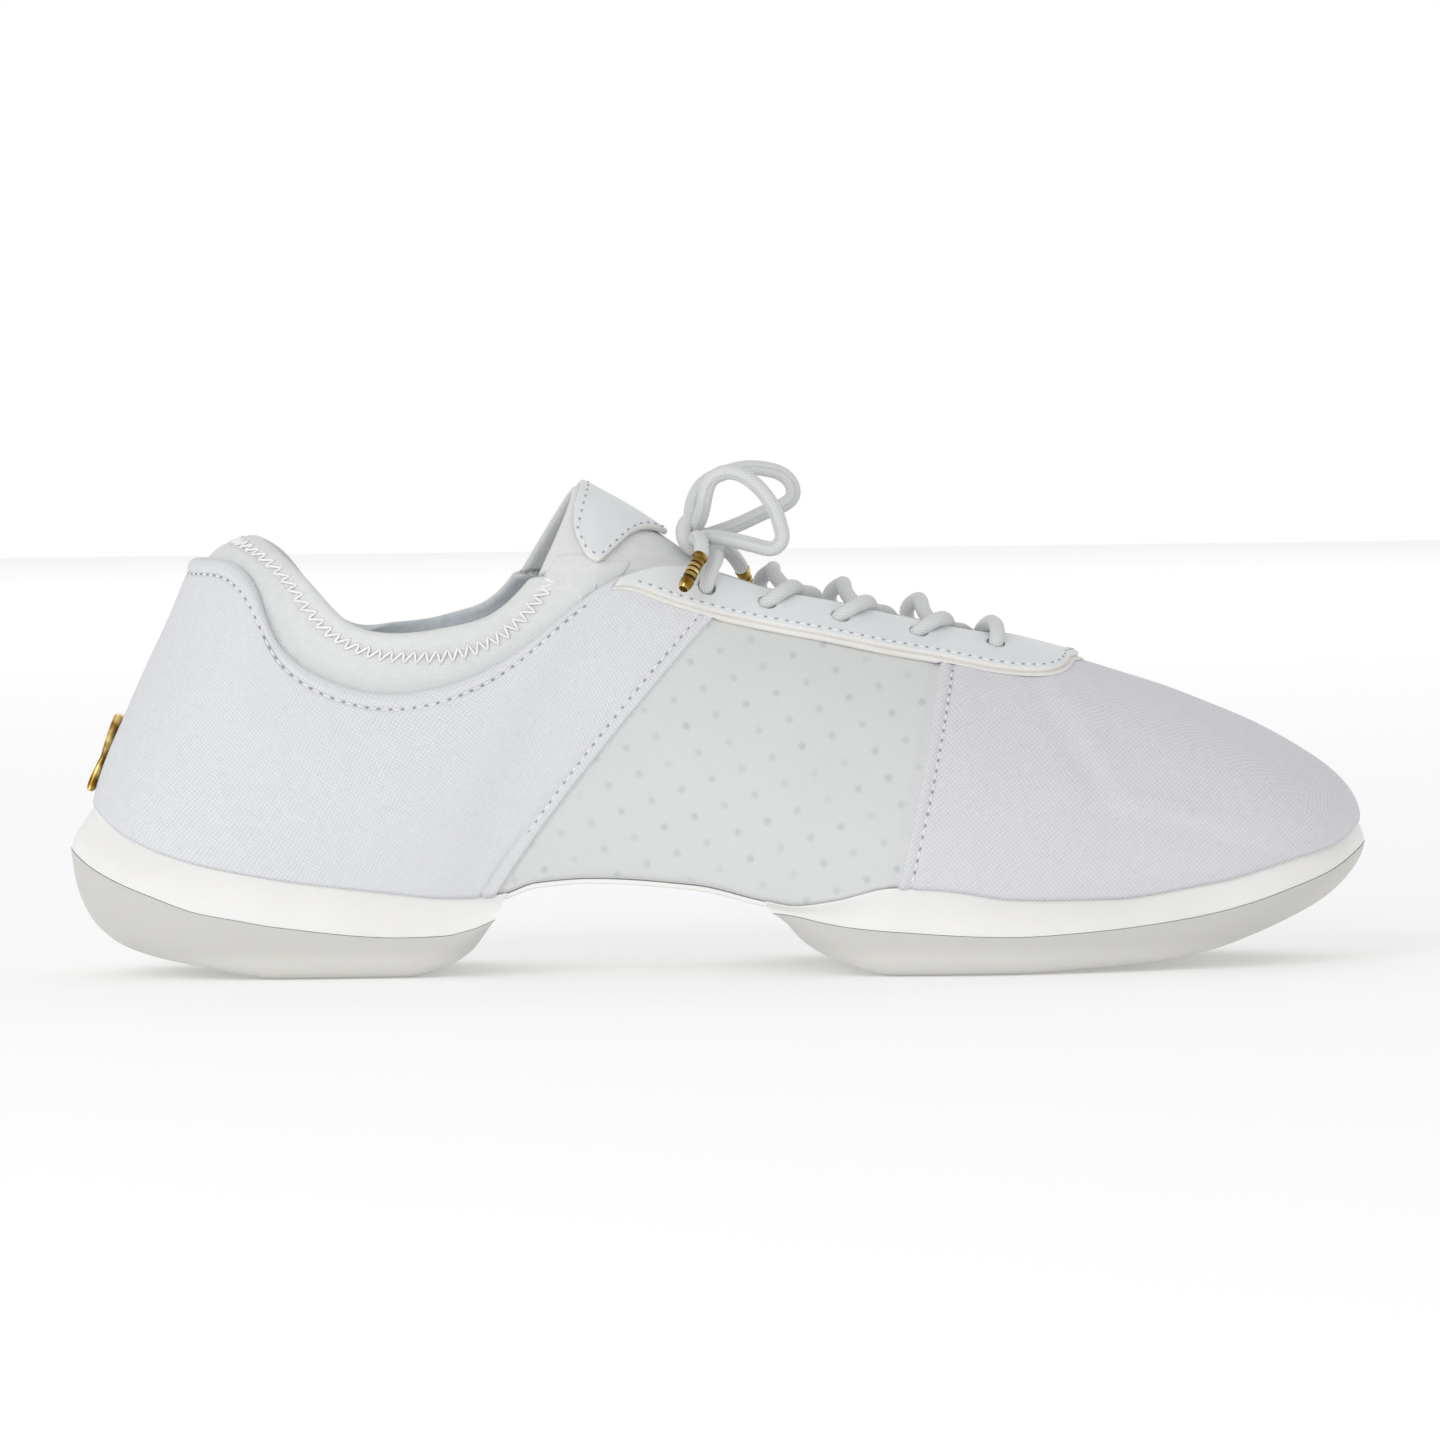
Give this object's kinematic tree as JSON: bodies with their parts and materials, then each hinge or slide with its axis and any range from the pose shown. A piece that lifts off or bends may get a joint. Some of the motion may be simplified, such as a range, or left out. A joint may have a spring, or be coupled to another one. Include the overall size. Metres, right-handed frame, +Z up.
{
  "type": "dance sneaker",
  "caption": "Right dance sneaker with a lasted canvas upper, mesh side panel, knit collar, laced throat with gold-tipped lace and a split rubber sole.",
  "frame": {"origin": "centre of the shoe's outline on the floor that the sole stands on", "axes": "+X to the toe, +Y to the inner side of the foot, +Z up"},
  "size_m": [0.275, 0.0998, 0.1073],
  "materials": {
    "canvas": "matt plain weave cotton canvas",
    "knit": "matt knit",
    "leather": "satin coated leatherette",
    "foam": "matt warm white foam rubber",
    "rubber": "satin off-white rubber",
    "lace": "matt braided cord",
    "gold": "polished gold plate"
  },
  "bodies": {
    "root": {"outsole_heel": "rubber", "outsole_forefoot": "rubber", "midsole_heel": "foam", "midsole_forefoot": "foam", "arch_plate": "foam", "insole": "knit", "upper": "canvas", "collar": "knit", "tongue": "knit", "tongue_patch": "leather", "eyestay": "leather", "lace_bar": "lace", "lace_crossing_1": "lace", "lace_crossing_2": "lace", "lace_crossing_3": "lace", "lace_crossing_4": "lace", "lace_knot": "lace", "lace_loop_near": "lace", "lace_loop_far": "lace", "lace_end_near": "lace", "lace_end_far": "lace", "aglet_near": "gold", "aglet_far": "gold", "heel_badge": "gold"}
  },
  "joints": []
}
